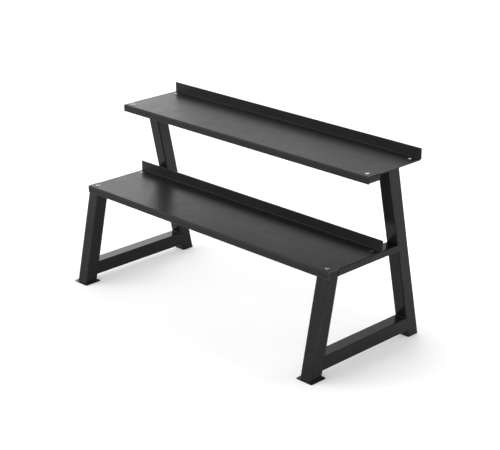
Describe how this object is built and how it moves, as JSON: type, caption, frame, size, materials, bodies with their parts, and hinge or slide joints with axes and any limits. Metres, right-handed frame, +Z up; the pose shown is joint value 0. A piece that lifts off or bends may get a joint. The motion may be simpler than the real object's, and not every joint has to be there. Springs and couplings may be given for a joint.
{
  "type": "dumbbell rack",
  "caption": "Tiered dumbbell rack: leaning square-tube side frames carry long folded sheet shelves with raised rear lips, each shelf set back above the one in front.",
  "frame": {"origin": "on the floor, at the centre of the bounding box's base", "axes": "+X along the shelves towards the right end, +Y towards the rear, +Z up"},
  "size_m": [1.218, 0.553, 0.677],
  "materials": {
    "frame_powder_coat": "black powder coat, semi-gloss, with faint orange peel",
    "shelf_powder_coat": "black powder coat, satin, with fine texture",
    "zinc_fasteners": "bright zinc plating",
    "plain_weld_nuts": "plain steel, dull"
  },
  "bodies": {
    "root": {"left_front_leg": "frame_powder_coat", "left_front_leg_cap": "frame_powder_coat", "left_front_foot_plate": "frame_powder_coat", "left_rear_leg": "frame_powder_coat", "left_rear_leg_end_cap": "frame_powder_coat", "left_bottom_bar": "frame_powder_coat", "left_mid_arm": "frame_powder_coat", "left_top_plate": "frame_powder_coat", "right_front_leg": "frame_powder_coat", "right_front_leg_cap": "frame_powder_coat", "right_front_foot_plate": "frame_powder_coat", "right_rear_leg": "frame_powder_coat", "right_rear_leg_end_cap": "frame_powder_coat", "right_bottom_bar": "frame_powder_coat", "right_mid_arm": "frame_powder_coat", "right_top_plate": "frame_powder_coat", "lower_shelf": "shelf_powder_coat", "upper_shelf": "shelf_powder_coat", "lower_shelf_screws": "zinc_fasteners", "upper_shelf_screws": "zinc_fasteners", "lower_shelf_washers": "zinc_fasteners", "upper_shelf_washers": "zinc_fasteners", "lower_shelf_nuts": "plain_weld_nuts", "upper_shelf_nuts": "plain_weld_nuts"}
  },
  "joints": []
}
